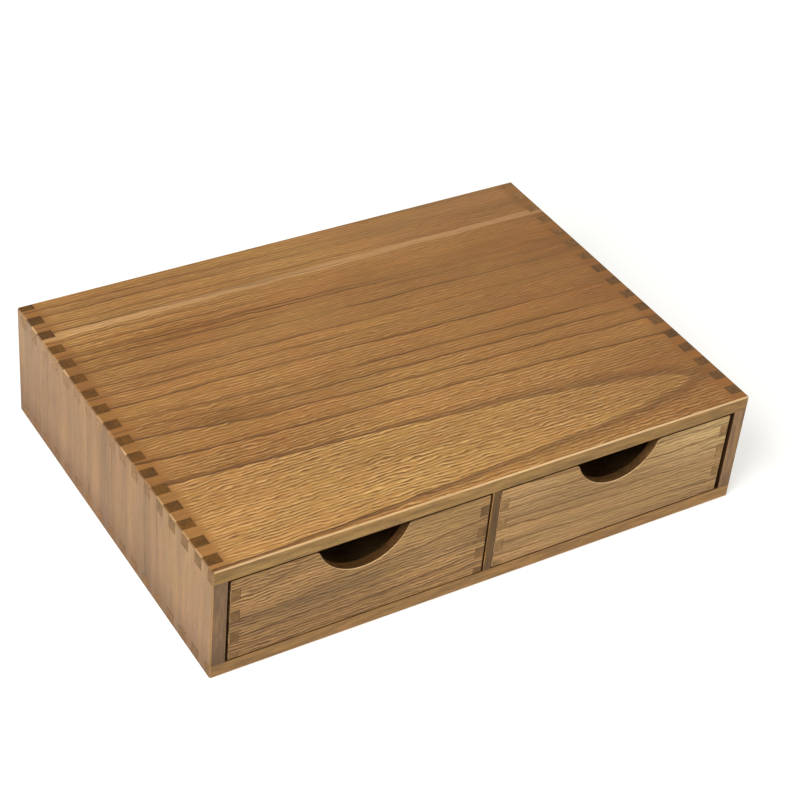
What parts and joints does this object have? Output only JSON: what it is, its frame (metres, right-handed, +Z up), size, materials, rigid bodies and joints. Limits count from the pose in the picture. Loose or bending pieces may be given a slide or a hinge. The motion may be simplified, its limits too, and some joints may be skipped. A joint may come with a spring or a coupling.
{
  "type": "drawer cabinet",
  "caption": "Low wooden desktop cabinet with finger-jointed case and side-by-side box drawers, each with a half-round finger pull in its front, for papers and small desk items.",
  "frame": {"origin": "middle of the footprint, on the surface that the cabinet stands on", "axes": "+X to the right as seen from the front, +Y to the rear, +Z up; the drawers open towards -Y"},
  "size_m": [0.3898, 0.285, 0.0851],
  "materials": {
    "case_wood": "brown stained light wood, satin",
    "drawer_wood": "brown stained light wood, satin",
    "thin_panel": "plain thin plywood, matt",
    "pin_steel": "plain steel"
  },
  "bodies": {
    "case": {"case_top": "case_wood", "case_bottom": "case_wood", "case_left_side": "case_wood", "case_right_side": "case_wood", "case_divider": "case_wood", "case_back": "thin_panel", "back_pins": "pin_steel"},
    "left_drawer": {"left_drawer_front": "drawer_wood", "left_drawer_back": "drawer_wood", "left_drawer_left_side": "drawer_wood", "left_drawer_right_side": "drawer_wood", "left_drawer_bottom": "thin_panel"},
    "right_drawer": {"right_drawer_front": "drawer_wood", "right_drawer_back": "drawer_wood", "right_drawer_left_side": "drawer_wood", "right_drawer_right_side": "drawer_wood", "right_drawer_bottom": "thin_panel"}
  },
  "joints": [
    {"name": "left_drawer_slide", "type": "slide", "parent": "case", "child": "left_drawer", "axis": [0, -1, 0], "range_m": [0, 0.22]},
    {"name": "right_drawer_slide", "type": "slide", "parent": "case", "child": "right_drawer", "axis": [0, -1, 0], "range_m": [0, 0.22]}
  ]
}
